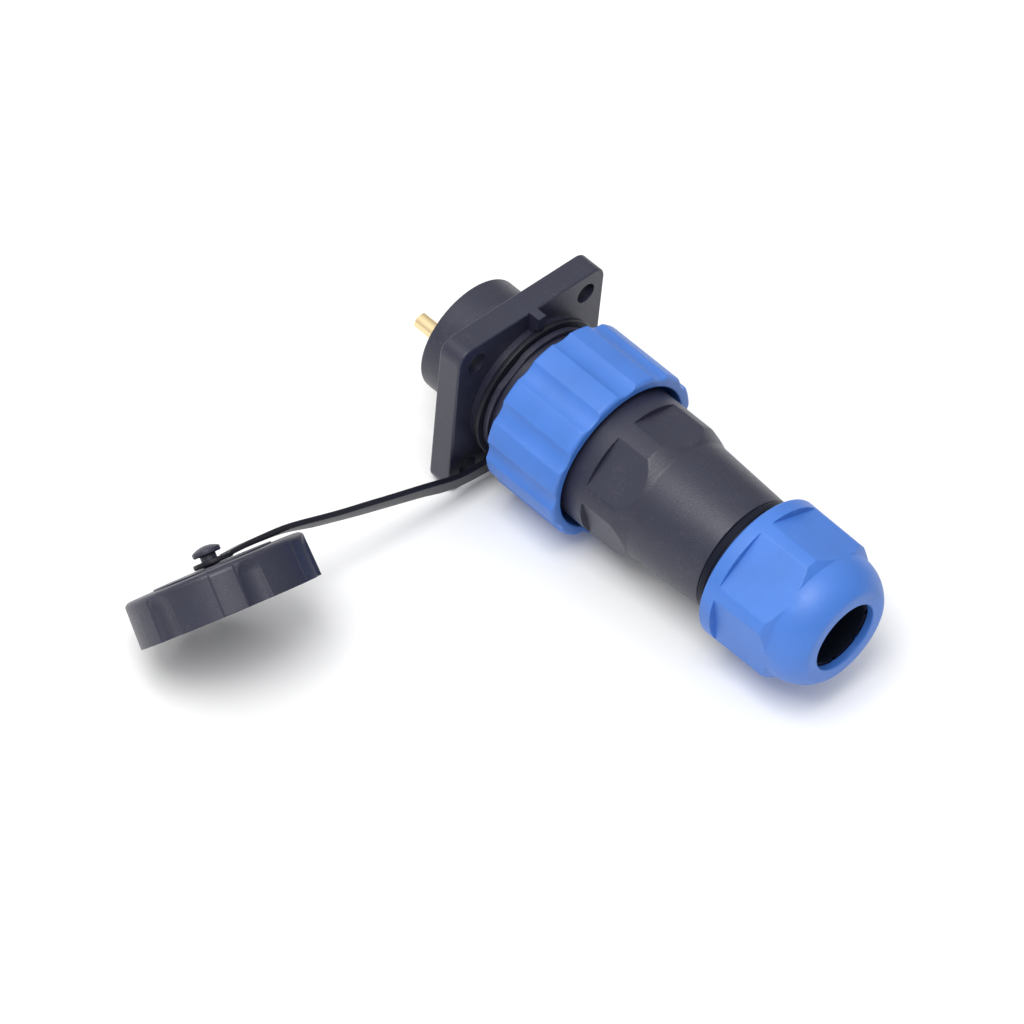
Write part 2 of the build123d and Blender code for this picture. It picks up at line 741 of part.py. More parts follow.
# Strap: its ring lies behind the thread, its tail leaves the bottom of the ring and turns with
# the cap, and its eye goes round the cap's stem
strap_ring_r = thread_core_r + turn_gap + strap_ring_width
strap_middle = (strap_ring_start + strap_ring_end) / 2
stem_plane = cap_frame.offset(cap_eye_height)
pull = Vector(strap_route[-2][0]) - stem_plane.origin
pull = (pull - stem_plane.z_dir * pull.dot(stem_plane.z_dir)).normalized()
eye_centre = stem_plane.origin + pull * strap_eye_slack
eye_plane = Plane(origin=eye_centre, x_dir=pull, z_dir=stem_plane.z_dir)


def lean(twist):
    """Direction of the strap's upper edge for a twist towards the cable end."""
    return Vector(sin(radians(twist)), 0, cos(radians(twist)))


with BuildPart() as cap_strap:
    with BuildSketch(across(strap_ring_start)):
        Circle(strap_ring_r)
        with Locations((-strap_root_reach / 2, -strap_root_drop)):
            Rectangle(strap_root_reach, strap_width)
        Circle(thread_core_r + turn_gap, mode=Mode.SUBTRACT)
    extrude(amount=strap_thickness)
    root = Vector(strap_middle, -strap_root_reach, -strap_root_drop)
    last_point, last_twist = strap_route[-1]
    towards_eye = (eye_centre - Vector(last_point)).normalized()
    route = [(root, 0.0)] + [(Vector(point), twist) for point, twist in strap_route]
    route.append((eye_centre - towards_eye * (strap_eye_r * 0.7), last_twist))
    for index, (point, twist) in enumerate(route):
        if index == 0:
            heading = Vector(0, -1, 0)
        elif index == len(route) - 1:
            heading = towards_eye
        else:
            heading = (route[index + 1][0] - route[index - 1][0]).normalized()
        upper = lean(twist)
        upper = (upper - heading * upper.dot(heading)).normalized()
        thickness = strap_eye_thickness if index == len(route) - 1 else strap_thickness
        with BuildSketch(Plane(origin=point, x_dir=upper, z_dir=heading)):
            Rectangle(strap_width, thickness)
    loft()
    with BuildSketch(eye_plane.offset(-strap_eye_thickness / 2)):
        Circle(strap_eye_r)
    extrude(amount=strap_eye_thickness)
    with BuildSketch(eye_plane.offset(-2 * strap_thickness)):
        Circle(strap_eye_hole_r)
    extrude(amount=4 * strap_thickness, mode=Mode.SUBTRACT)
save(cap_strap, "cap_strap")
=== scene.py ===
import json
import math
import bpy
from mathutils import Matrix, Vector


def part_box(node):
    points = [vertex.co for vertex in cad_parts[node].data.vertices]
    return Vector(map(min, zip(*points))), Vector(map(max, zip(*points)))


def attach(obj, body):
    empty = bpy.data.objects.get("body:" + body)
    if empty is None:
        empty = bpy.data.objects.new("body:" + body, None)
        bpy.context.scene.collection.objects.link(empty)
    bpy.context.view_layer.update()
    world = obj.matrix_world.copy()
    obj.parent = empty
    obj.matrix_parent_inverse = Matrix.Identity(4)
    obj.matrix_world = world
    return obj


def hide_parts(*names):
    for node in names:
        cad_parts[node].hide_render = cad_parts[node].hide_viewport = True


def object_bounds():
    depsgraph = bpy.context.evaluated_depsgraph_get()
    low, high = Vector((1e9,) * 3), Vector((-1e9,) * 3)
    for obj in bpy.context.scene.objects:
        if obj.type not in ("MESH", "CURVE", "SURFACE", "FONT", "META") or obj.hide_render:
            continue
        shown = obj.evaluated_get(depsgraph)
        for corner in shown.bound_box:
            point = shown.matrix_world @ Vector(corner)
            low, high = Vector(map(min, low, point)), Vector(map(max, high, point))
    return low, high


bl_info = {
    "name": "Waterproof Circular Connector",
    "version": (1, 0, 0),
    "blender": (4, 5, 0),
    "location": "View3D > Sidebar > Connector",
    "description": "Models and finishes a mated circular power connector with its strapped cap",
    "category": "Object",
}

import bmesh
import bpy
import numpy as np
from bpy.props import FloatProperty, FloatVectorProperty, IntProperty, PointerProperty
from mathutils import Matrix, Vector

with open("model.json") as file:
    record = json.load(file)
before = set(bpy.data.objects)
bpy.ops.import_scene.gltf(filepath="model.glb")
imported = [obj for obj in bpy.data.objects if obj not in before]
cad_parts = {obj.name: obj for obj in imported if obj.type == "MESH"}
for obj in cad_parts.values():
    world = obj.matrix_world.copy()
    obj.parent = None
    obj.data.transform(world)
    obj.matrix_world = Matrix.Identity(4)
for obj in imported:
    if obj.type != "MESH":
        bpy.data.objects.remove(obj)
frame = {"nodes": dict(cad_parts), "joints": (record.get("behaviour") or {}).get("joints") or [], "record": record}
cad_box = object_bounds()

MM = 0.001
joints = {joint["name"]: joint for joint in frame["joints"]}

# Centre of the strap in millimetres, from the receptacle to the cap, and how far its upper edge
# leans towards the cable end in degrees
STRAP_ROUTE = [
    ((6.375, -4.0, -10.95), 0.0),
    ((6.375, -8.0, -10.95), 4.0),
    ((6.36, -11.5, -11.15), 17.0),
    ((6.3, -17.0, -10.15), 21.0),
    ((5.95, -23.0, -8.05), 24.0),
    ((5.05, -33.0, -5.1), 26.0),
    ((4.05, -42.0, -2.5), 30.0),
    ((3.2, -50.0, 0.2), 35.0),
    ((2.5, -57.3, 1.3), 37.5),
]

# Steps along the strap between two points of its route, and steps over which it thins to the eye
ROUTE_STEPS = 10
THINNING_STEPS = 15

# The tail stays this far outside the ring's hole and ends at this share of the eye's radius. It is this
# share of the ring's thickness, so that no two of their faces lie in one plane
TAIL_CLEARANCE = 0.2 * MM
TAIL_REACH = 0.72
TAIL_SHARE = 0.94

# The photo's camera, in metres
CAMERA_PLACE = (0.414586, -0.457742, 0.646553)
CAMERA_RIGHT = (0.68971, 0.72076, 0.06925)
CAMERA_BACK = (0.44854, -0.50038, 0.74056)
CAMERA_LENS = 200.9
CAMERA_SENSOR = 36

# The floor, and the soft light above the camera, in metres and watts
FLOOR_SIZE = 8
LIGHT_SIZE = 0.55
LIGHT_POWER = 7.6

# Rounds of the small edges
CRISP = 0.1 * MM
FINE = 0.15 * MM
SMALL = 0.2 * MM
SOFT = 0.3 * MM
WIDE = 0.5 * MM

# Steps round the pieces whose wrench flats end in a notch, and the length of that notch's wall
NOTCH_STEPS = 720
NOTCH_LENGTH = 0.08 * MM


# Properties


def length(label, about, millimetres):
    """A length property with its default in millimetres."""
    return FloatProperty(name=label, description=about, default=millimetres * MM, unit="LENGTH", precision=5)


def angle(label, about, degrees):
    """An angle property with its default in degrees."""
    return FloatProperty(name=label, description=about, default=math.radians(degrees), subtype="ANGLE")


def from_hex(code):
    """An sRGB hex colour as linear red, green and blue."""
    channels = [int(code[i : i + 2], 16) / 255 for i in (0, 2, 4)]
    return tuple(c / 12.92 if c <= 0.04045 else ((c + 0.055) / 1.055) ** 2.4 for c in channels)


def colour(label, about, code):
    """A colour property with its default as an sRGB hex value."""
    linear = from_hex(code)
    return FloatVectorProperty(name=label, description=about, default=linear, subtype="COLOR", min=0, max=1)


class ConnectorThreads(bpy.types.PropertyGroup):
    starts: IntProperty(name="Starts", description="Starts of the coupling thread", default=2, min=1)
    barrel_start: length("Barrel start", "Where the receptacle's ridges start, along the axis", 9.4)
    barrel_stop: length("Barrel stop", "From the last ridge to the barrel's end", 0.6)
    barrel_core: length("Barrel core", "Radius of the barrel between its ridges", 10.95)
    pitch: length("Pitch", "Distance between neighbouring ridges, on both threads", 1.5)
    height: length("Height", "Height of a ridge", 0.72)
    root_width: length("Root width", "Width of a ridge where it leaves the wall", 0.95)
    crest_width: length("Crest width", "Width of a ridge at its top", 0.32)
    sink: length("Sink", "How far a ridge's foot goes into the wall", 0.12)


class ConnectorNut(bpy.types.PropertyGroup):
    flutes: IntProperty(name="Flutes", description="Number of flutes round the nut", default=12, min=3)
    flute_phase: angle("Flute phase", "Angle of the first flute", 1)
    flute_depth: length("Flute depth", "Depth of a flute at its middle", 0.66)
    flute_radius: length("Flute radius", "Radius of a flute's round section", 3.9)
    front_round: length("Front round", "Radius of the front edge", 0.4)
    rear_round: length("Rear round", "Radius of the rear edge", 0.7)
    flute_end_round: length("Flute end round", "Radius of the edge at the ends of a flute", 0.3)
    crease: length("Crease", "Depth over which the flutes' edges are rounded", 0.05)
    recess_radius: length("Recess radius", "Radius of the recess at the rear", 13.0)
    recess_depth: length("Recess depth", "Depth of the recess at the rear", 4.65)
    lip_thickness: length("Lip thickness", "Lip that pulls on the plug's shoulder", 2.1)
    lip_radius: length("Lip radius", "Radius of the bore through the lip", 10.38)
    thread_radius: length("Thread radius", "Radius of the thread's root", 11.9)
    thread_start: length("Thread start", "From the nut's front to its first ridge", 0.7)
    thread_stop: length("Thread stop", "From the last ridge to the lip", 0.8)


class ConnectorBackShell(bpy.types.PropertyGroup):
    collar_length: length("Collar length", "Length of the collar with the flats", 14.1)
    cone_length: length("Cone length", "Length of the cone behind the collar", 2.7)
    barrel_length: length("Barrel length", "Length of the tapering barrel", 14.4)
    barrel_front: length("Barrel front", "Radius of the barrel at the cone", 11.0)
    barrel_rear: length("Barrel rear", "Radius of the barrel at the gasket", 10.2)
    thread_radius: length("Thread radius", "Radius of the gland thread's core", 9.2)
    thread_start: length("Thread start", "From the barrel to the first ridge", 3.0)
    thread_stop: length("Thread stop", "From the last ridge to the end", 0.6)
    flats_start: length("Flats start", "Distance from the front to the wrench flats", 7.8)
    flats_distance: length("Flats distance", "Distance of a flat from the axis", 11.17)
    flats_angle: angle("Flats angle", "Angle of the first flat", 77.5)
    flats_release: length("Flats release", "How far the flats stand off at their notch", 2.0)
    crease: length("Crease", "Depth over which the flats' edges are rounded", 0.06)
    seal_bore: length("Seal bore", "Radius of the bore for the seal", 10.4)
    seal_depth: length("Seal depth", "Depth of the bore for the seal", 1.5)
    tail_bore: length("Tail bore", "Radius of the bore for the front shell's tail", 9.43)
    tail_depth: length("Tail depth", "Depth of the bore for the front shell's tail", 7.1)
    space_front: length("Space front", "Radius of the wire space at its front", 9.0)
    space_rear: length("Space rear", "Radius of the wire space at its rear", 7.3)


class ConnectorGlandNut(bpy.types.PropertyGroup):
    collar_length: length("Collar length", "Round collar in front of the flats", 2.4)
    body_length: length("Body length", "Length to the shoulder", 11.9)
    body_rear: length("Body rear", "Radius at the shoulder", 12.42)
    shoulder_length: length("Shoulder length", "Length of the shoulder's chamfer", 1.2)
    flats_front: length("Flats front", "Distance of a flat from the axis at its front", 11.4)
    flats_rear: length("Flats rear", "Distance of a flat from the axis at its rear", 11.2)
    flats_angle: angle("Flats angle", "Angle of the first flat", 69.4)
    flats_release: length("Flats release", "How far the flats stand off at their notch", 2.2)
    crease: length("Crease", "Depth over which the flats' edges are rounded", 0.08)
    dome_base: length("Dome base", "Radius of the dome at the shoulder", 11.25)
    dome_bulge: length("Dome bulge", "How far the dome bulges from a straight cone", 0.75)
    end_radius: length("End radius", "Radius where the dome meets the end", 8.3)
    mouth_radius: length("Mouth radius", "Radius of the cable's mouth", 6.04)
    mouth_length: length("Mouth length", "Length of the cable's mouth", 1.3)
    end_round: length("End round", "Radius of the edge between the dome and the end", 1.4)
    thread_radius: length("Thread radius", "Radius of the thread's root", 9.9)
    thread_length: length("Thread length", "Length of the threaded bore", 8.05)
    thread_start: length("Thread start", "From the nut's front to its first ridge", 0.7)
    thread_stop: length("Thread stop", "From the last ridge to the end of the bore", 1.6)
    hollow_radius: length("Hollow radius", "Radius of the bore round the clamp", 9.3)
    finger_radius: length("Finger radius", "Radius of the cone at the mouth", 6.94)


class ConnectorGasket(bpy.types.PropertyGroup):
    bore_radius: length("Bore radius", "Radius of the hole", 9.25)
    edge_round: length("Edge round", "Radius of the outer edges", 0.5)
    bead_width: length("Bead width", "Width of the bead round the middle", 0.26)
    bead_height: length("Bead height", "Height of the bead round the middle", 0.12)


class ConnectorCap(bpy.types.PropertyGroup):
    rim_radius: length("Rim radius", "Outer radius at the rim", 14.85)
    top_radius: length("Top radius", "Outer radius at the top", 14.65)
    height: length("Height", "Height of the wall", 7.3)
    edge_round: length("Edge round", "Radius of the top edge", 1.15)
    rim_round: length("Rim round", "Radius of the rim's outer edge", 0.12)
    grips: IntProperty(name="Grips", description="Number of raised pads and of grooves", default=6, min=2)
    pad_angle: angle("Pad angle", "Angle of the first pad's middle", 6.25)
    pad_span: angle("Pad span", "Angle that a pad covers", 15.5)
    pad_rise: length("Pad rise", "How far a pad stands out of the wall", 0.15)
    pad_edge: angle("Pad edge", "Angle that the side of a pad covers", 0.6)
    crease: length("Crease", "Depth over which the edges of pads and grooves are rounded", 0.05)
    groove_angle: angle("Groove angle", "Angle of the first groove", 22.3)
    groove_radius: length("Groove radius", "Radius of a groove", 3.5)
    groove_depth: length("Groove depth", "Depth of a groove", 0.9)
    groove_setback: length("Groove setback", "From the top face to the end of a groove", 0.8)
    roof: length("Roof", "Thickness of the top", 1.6)
    bore_radius: length("Bore radius", "Radius of the hollow", 11.95)
    thread_start: length("Thread start", "From the rim to the first ridge", 0.8)
    thread_stop: length("Thread stop", "From the last ridge to the roof", 1.9)
    disc_radius: length("Disc radius", "Radius of the raised disc", 9.6)
    disc_rise: length("Disc rise", "Height of the raised disc", 0.3)
    stem_radius: length("Stem radius", "Radius of the button's stem", 1.28)
    stem_length: length("Stem length", "Length of the button's stem", 1.8)
    button_radius: length("Button radius", "Radius of the button", 2.25)
    button_rim: length("Button rim", "Height of the button's edge", 0.75)
    button_thickness: length("Button thickness", "Height of the button", 1.4)


class ConnectorStrap(bpy.types.PropertyGroup):
    width: length("Width", "Width of the strap", 4.1)
    thickness: length("Thickness", "Thickness of the strap", 1.0)
    edge_round: length("Edge round", "Radius of the strap's edges", 0.25)
    ring_inner: length("Ring inner", "Inner radius of the ring round the receptacle", 11.03)
    ring_outer: length("Ring outer", "Outer radius of the ring round the receptacle", 12.8)
    ring_station: length("Ring station", "Middle of the ring along the axis", 6.375)
    eye_radius: length("Eye radius", "Outer radius of the eye", 3.2)
    eye_hole: length("Eye hole", "Radius of the eye's hole", 1.78)
    eye_thickness: length("Eye thickness", "Thickness of the eye", 0.8)
    eye_height: length("Eye height", "Middle of the eye above the cap's top", 0.85)
    eye_slack: length("Eye slack", "How far the eye hangs off the stem's centre", 0.5)


class ConnectorFinish(bpy.types.PropertyGroup):
    blue: colour("Blue nylon", "Nuts", "3C71C5")
    black: colour("Black nylon", "Shells and inserts", "232437")
    cap: colour("Cap nylon", "Cap", "242537")
    strap: colour("Strap", "Soft plastic of the strap", "161620")
    rubber: colour("Rubber", "Seals and gasket", "141824")
    gold: colour("Gold", "Contacts", "F0D39C")
    floor: colour("Floor", "Floor under the connector", "F1F1F1")


# Modelling helpers


def edit(piece):
    """Make a piece the only selected one and enter edit mode."""
    bpy.ops.object.select_all(action="DESELECT")
    piece.select_set(True)
    bpy.context.view_layer.objects.active = piece
    bpy.ops.object.mode_set(mode="EDIT")
    bpy.ops.mesh.select_all(action="SELECT")


def finish_mesh(piece, smooth_degrees=32):
    """Leave edit mode with merged points, normals outwards and smooth shading between sharp edges."""
    bpy.ops.mesh.select_all(action="SELECT")
    bpy.ops.mesh.remove_doubles(threshold=0.001 * MM)
    bpy.ops.mesh.normals_make_consistent(inside=False)
    bpy.ops.object.mode_set(mode="OBJECT")
    bpy.ops.object.shade_smooth_by_angle(angle=math.radians(smooth_degrees))
    return piece


def rounded(corners, closed=True, steps=6):
    """Outline through (station, radius, round) corners, with an arc of that round at each corner."""
    points = []
    count = len(corners)
    for index, (station, radius, turn) in enumerate(corners):
        here = Vector((station, radius))
        if turn == 0 or (not closed and index in (0, count - 1)):
            points.append(here)
            continue
        back = (Vector(corners[index - 1][:2]) - here).normalized()
        on = (Vector(corners[(index + 1) % count][:2]) - here).normalized()
        half = back.angle(on) / 2
        centre = here + (back + on).normalized() * (turn / math.sin(half))
        first = here + back * (turn / math.tan(half)) - centre
        sweep = math.pi - 2 * half
        if back.x * on.y - back.y * on.x > 0:
            sweep = -sweep
        for step in range(steps + 1):
            part = sweep * step / steps
            cos, sin = math.cos(part), math.sin(part)
            points.append(centre + Vector((first.x * cos - first.y * sin, first.x * sin + first.y * cos)))
    return points


def arc_between(start, end, bulge, steps):
    """Inner points of an arc from start to end that stands off its chord by bulge, to the left."""
    start, end = Vector(start), Vector(end)
    chord = end - start
    side = Vector((-chord.y, chord.x)).normalized()
    radius = (chord.length / 2) ** 2 / (2 * bulge) + bulge / 2
    centre = (start + end) / 2 + side * (bulge - radius)
    reach = math.asin(chord.length / 2 / radius)
    points = []
    for step in range(1, steps):
        part = reach * (1 - 2 * step / steps)
        along = chord.normalized() * (radius * math.sin(part))
        points.append(centre + side * (radius * math.cos(part)) - along)
    return points


def rows(first, second, start, end, gap):
    """Corners with no round on the line from first to second, from station start to end, a gap apart."""
    slope = (second[1] - first[1]) / (second[0] - first[0])
    count = math.ceil(abs(end - start) / gap)
    stations = [start + (end - start) * row / count for row in range(count + 1)]
    return [(station, first[1] + slope * (station - first[0]), 0) for station in stations]


def turned(name, outline, steps, closed=True):
    """Spin an outline of (station, radius) points about the X axis into a piece."""
    mesh = bpy.data.meshes.new(name)
    points = [(station, 0, radius) for station, radius in outline]
    edges = [(i, i + 1) for i in range(len(points) - 1)]
    if closed:
        edges.append((len(points) - 1, 0))
    mesh.from_pydata(points, edges, [])
    piece = bpy.data.objects.new(name, mesh)
    bpy.context.scene.collection.objects.link(piece)
    edit(piece)
    bpy.ops.mesh.spin(steps=steps, angle=2 * math.pi, center=(0, 0, 0), axis=(1, 0, 0))
    return finish_mesh(piece)


def soft_min(first, second, blend):
    """The lower of two values, with the crease between them rounded over blend."""
    near = np.clip(1 - np.abs(first - second) / blend, 0, 1)
    return np.minimum(first, second) - near * near * blend / 4


def ease(values, start, span):
    """From 0 before start to 1 after start + span, with soft ends."""
    part = np.clip((values - start) / span, 0, 1)
    return part * part * (3 - 2 * part)


def flats_radius(angles, distance, first, count=6):
    """Radius at each angle of a ring of flats that lie at a distance from the axis."""
    pitch = 2 * math.pi / count
    off = (angles - first + pitch / 2) % pitch - pitch / 2
    return distance / np.cos(off)


def round_groove(angles, first, count, centre, radius, above=0.0):
    """Radius of the wall in a ring of round grooves along the axis, and a metre between them."""
    pitch = 2 * math.pi / count
    off = (angles - first + pitch / 2) % pitch - pitch / 2
    reach = radius**2 - above**2 - (centre * np.sin(off)) ** 2
    return np.where(reach > 0, centre * np.cos(off) - np.sqrt(np.clip(reach, 0, None)), 1.0)


def press(piece, limit, blend):
    """Bring the wall of a turned piece in to limit(stations, angles), with its creases rounded."""
    count = len(piece.data.vertices)
    places = np.empty(count * 3)
    piece.data.vertices.foreach_get("co", places)
    places = places.reshape(-1, 3)
    radii = np.hypot(places[:, 1], places[:, 2])
    angles = np.arctan2(places[:, 2], places[:, 1])
    pressed = soft_min(radii, limit(places[:, 0], angles), blend)
    places[:, 1:] *= (pressed / np.maximum(radii, 1e-9))[:, None]
    piece.data.vertices.foreach_set("co", places.ravel())
    piece.data.update()
    edit(piece)
    finish_mesh(piece)


def ridge(name, radius, outward, start, turns, lead, phase, threads):
    """One helical ridge on a wall of that radius, standing outwards or inwards."""
    sign = 1 if outward else -1
    foot = radius - sign * threads.sink
    crest = radius + sign * threads.height
    half_root, half_crest = threads.root_width / 2, threads.crest_width / 2
    section = [(-half_root, foot), (-half_crest, crest), (half_crest, crest), (half_root, foot)]
    mesh = bpy.data.meshes.new(name)
    cos, sin = math.cos(phase), math.sin(phase)
    points = [(start + x, r * cos, r * sin) for x, r in section]
    mesh.from_pydata(points, [(0, 1), (1, 2), (2, 3), (3, 0)], [])
    piece = bpy.data.objects.new(name, mesh)
    bpy.context.scene.collection.objects.link(piece)
    bpy.ops.object.select_all(action="DESELECT")
    piece.select_set(True)
    bpy.context.view_layer.objects.active = piece
    screw = piece.modifiers.new("Screw", "SCREW")
    screw.axis = "X"
    screw.angle = 2 * math.pi * turns
    screw.screw_offset = lead * turns
    screw.steps = screw.render_steps = math.ceil(72 * turns)
    screw.use_smooth_shade = False
    bpy.ops.object.modifier_apply(modifier=screw.name)
    edit(piece)
    bpy.ops.mesh.fill_holes(sides=0)
    return finish_mesh(piece, 40)


def thread(name, radius, outward, start, end, starts, origin, threads):
    """All ridges of a right-hand thread, in one piece. A ridge passes angle 0 at the origin station."""
    lead = threads.pitch * starts
    turns = (end - start) / lead
    ridges = []
    for index in range(starts):
        phase = 2 * math.pi * ((start - origin) / lead + index / starts)
        ridges.append(ridge(f"{name}_{index}", radius, outward, start, turns, lead, phase, threads))
    return joined(name, ridges)


def joined(name, pieces):
    """Join pieces into one of that name."""
    bpy.ops.object.select_all(action="DESELECT")
    for piece in pieces:
        piece.select_set(True)
    bpy.context.view_layer.objects.active = pieces[0]
    if len(pieces) > 1:
        bpy.ops.object.join()
    pieces[0].name = pieces[0].data.name = name
    return pieces[0]


def place_mesh(piece, matrix):
    """Move a piece's mesh, and leave its object at the origin."""
    piece.data.transform(matrix)
    piece.data.update()


def hand_over(piece, body, slot, material, *nodes):
    """Give a finished piece its body and material, and hide the nodes that it stands for. Its slot is not used."""
    piece.data.materials.clear()
    piece.data.materials.append(material)
    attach(piece, body)
    if nodes:
        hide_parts(*nodes)


def cap_matrix():
    """Places a piece turned about X on the cap: X is out of its top, and angle 0 faces the camera."""
    up = Vector(joints["cap_swivel"]["axis"]).normalized()
    front = camera_axes()[2]
    front = (front - up * front.dot(up)).normalized()
    matrix = Matrix((up, front, up.cross(front))).transposed().to_4x4()
    matrix.translation = Vector(joints["cap_swivel"]["pos_m"])
    return matrix


def camera_axes():
    """Right, up and backward directions of the camera."""
    right = Vector(CAMERA_RIGHT).normalized()
    back = Vector(CAMERA_BACK)
    back = (back - right * back.dot(right)).normalized()
    return right, back.cross(right), back


# Materials


def add(material, kind, settings=None, links=None):
    """Add a node, set its properties or sockets by name, and link sockets to outputs."""
    node = material.node_tree.nodes.new(kind)
    for key, value in (settings or {}).items():
        if isinstance(key, str) and hasattr(node, key):
            setattr(node, key, value)
        else:
            node.inputs[key].default_value = value
    for key, source in (links or {}).items():
        material.node_tree.links.new(source, node.inputs[key])
    return node


def new_material(name):
    """An empty material with a principled shader, and its object coordinates."""
    material = bpy.data.materials.get(name)
    if material:
        return material, None, None
    material = bpy.data.materials.new(name)
    material.use_nodes = True
    material.node_tree.nodes.clear()
    place = add(material, "ShaderNodeTexCoord").outputs["Object"]
    shader = add(material, "ShaderNodeBsdfPrincipled")
    add(material, "ShaderNodeOutputMaterial", links={"Surface": shader.outputs[0]})
    return material, place, shader


def moulded(name, base, speck, roughness, grain, specks, shine=0.5):
    """Moulded plastic or rubber: a slightly cloudy colour, fine grain from the mould, and pale specks."""
    material, place, shader = new_material(name)
    if shader is None:
        return material
    link = material.node_tree.links.new
    # Clouds of about 7 mm, where the melt cooled unevenly
    cloud = add(material, "ShaderNodeTexNoise", {"Scale": 1 / (7 * MM), "Detail": 3.0}, {"Vector": place})
    tone = add(
        material,
        "ShaderNodeMapRange",
        {"From Min": 0.3, "From Max": 0.7, "To Min": 0.93, "To Max": 1.07},
        {"Value": cloud.outputs["Fac"]},
    )
    clouded = add(
        material,
        "ShaderNodeMix",
        {"data_type": "RGBA", "blend_type": "MULTIPLY", 0: 1.0, 6: (*base, 1)},
        {7: tone.outputs["Result"]},
    )
    # Specks of up to 0.2 mm, where a fibre or a pigment grain reaches the skin
    cells = add(
        material,
        "ShaderNodeTexVoronoi",
        {"Scale": 1 / (0.24 * MM), "Randomness": 1.0},
        {"Vector": place},
    )
    patch = add(material, "ShaderNodeTexNoise", {"Scale": 1 / (2.5 * MM), "Detail": 2.0}, {"Vector": place})
    size = add(
        material,
        "ShaderNodeMapRange",
        {"From Min": 0.25, "From Max": 0.75, "To Min": 0.1, "To Max": 0.5},
        {"Value": patch.outputs["Fac"]},
    )
    inside = add(
        material,
        "ShaderNodeMath",
        {"operation": "SUBTRACT", "use_clamp": True},
        {0: size.outputs["Result"], 1: cells.outputs["Distance"]},
    )
    strength = add(
        material,
        "ShaderNodeMath",
        {"operation": "MULTIPLY", "use_clamp": True, 1: specks},
        {0: inside.outputs[0]},
    )
    mixed = add(
        material,
        "ShaderNodeMix",
        {"data_type": "RGBA", 7: (*speck, 1)},
        {0: strength.outputs[0], 6: clouded.outputs[2]},
    )
    link(mixed.outputs[2], shader.inputs["Base Color"])
    # Grain of the spark-eroded mould, really about 0.05 mm and drawn at 0.22 mm so that it shows
    fine = add(
        material,
        "ShaderNodeTexNoise",
        {"Scale": 1 / (0.22 * MM), "Detail": 4.0, "Roughness": 0.6},
        {"Vector": place},
    )
    gloss = add(
        material,
        "ShaderNodeMapRange",
        {"From Min": 0.3, "From Max": 0.7, "To Min": roughness - 0.08, "To Max": roughness + 0.1},
        {"Value": fine.outputs["Fac"]},
    )
    link(gloss.outputs["Result"], shader.inputs["Roughness"])
    bump = add(
        material,
        "ShaderNodeBump",
        {"Strength": grain, "Distance": 0.035 * MM},
        {"Height": fine.outputs["Fac"]},
    )
    link(bump.outputs["Normal"], shader.inputs["Normal"])
    shader.inputs["IOR"].default_value = 1.53
    shader.inputs["Specular IOR Level"].default_value = shine
    return material


def blue_nylon():
    # Moulded nylon: an even satin blue, with a soft wide sheen
    finish = bpy.context.scene.connector_finish
    return moulded("moulded_blue_nylon", finish.blue, from_hex("6FA2EE"), 0.45, 0.4, 0.5)


def black_nylon():
    # Nylon filled with glass fibre: dull black that looks grey in white light, with pale specks
    finish = bpy.context.scene.connector_finish
    return moulded("glass_filled_black_nylon", finish.black, from_hex("62616C"), 0.4, 1.0, 1.1)


def cap_nylon():
    # The same plastic from another mould, with fewer specks
    finish = bpy.context.scene.connector_finish
    return moulded("glass_filled_cap_nylon", finish.cap, from_hex("62616C"), 0.4, 1.0, 0.9)


def strap_plastic():
    # Soft moulded plastic: smooth, with a dull sheen
    finish = bpy.context.scene.connector_finish
    return moulded("soft_strap_plastic", finish.strap, from_hex("3A3C48"), 0.4, 0.3, 0.3, 0.25)


def seal_rubber():
    # Moulded rubber: a deep dull black with hardly any shine
    finish = bpy.context.scene.connector_finish
    return moulded("moulded_seal_rubber", finish.rubber, from_hex("20232E"), 0.4, 0.2, 0.5, 0.1)


def gold_plate():
    """Gold plating on turned brass: a pale warm metal with fine marks of the lathe round it."""
    material, place, shader = new_material("gold_plated_brass")
    if shader is None:
        return material
    link = material.node_tree.links.new
    finish = bpy.context.scene.connector_finish
    wear = add(material, "ShaderNodeTexNoise", {"Scale": 1 / (1.2 * MM), "Detail": 3.0}, {"Vector": place})
    tone = add(
        material,
        "ShaderNodeMix",
        {"data_type": "RGBA", 6: (*finish.gold, 1), 7: (*from_hex("F6E2B8"), 1)},
        {0: wear.outputs["Fac"]},
    )
    link(tone.outputs[2], shader.inputs["Base Color"])
    # Marks of the lathe, 0.12 mm apart along the contact
    marks = add(
        material,
        "ShaderNodeTexWave",
        {"bands_direction": "X", "Scale": 1 / (0.12 * MM) / 20, "Distortion": 1.5, "Detail": 1.0},
        {"Vector": place},
    )
    bump = add(
        material,
        "ShaderNodeBump",
        {"Strength": 0.25, "Distance": 0.01 * MM},
        {"Height": marks.outputs["Fac"]},
    )
    link(bump.outputs["Normal"], shader.inputs["Normal"])
    shader.inputs["Metallic"].default_value = 1.0
    shader.inputs["Roughness"].default_value = 0.3
    return material


def floor_paint():
    """Matt white sweep, faintly mottled."""
    material, place, shader = new_material("matt_white_sweep")
    if shader is None:
        return material
    finish = bpy.context.scene.connector_finish
    mottle = add(material, "ShaderNodeTexNoise", {"Scale": 4.0}, {"Vector": place})
    tone = add(
        material,
        "ShaderNodeMix",
        {"data_type": "RGBA", 6: (*finish.floor, 1), 7: (*from_hex("F5F5F5"), 1)},
        {0: mottle.outputs["Fac"]},
    )
    material.node_tree.links.new(tone.outputs[2], shader.inputs["Base Color"])
    shader.inputs["Roughness"].default_value = 0.9
    shader.inputs["Specular IOR Level"].default_value = 0.1
    return material


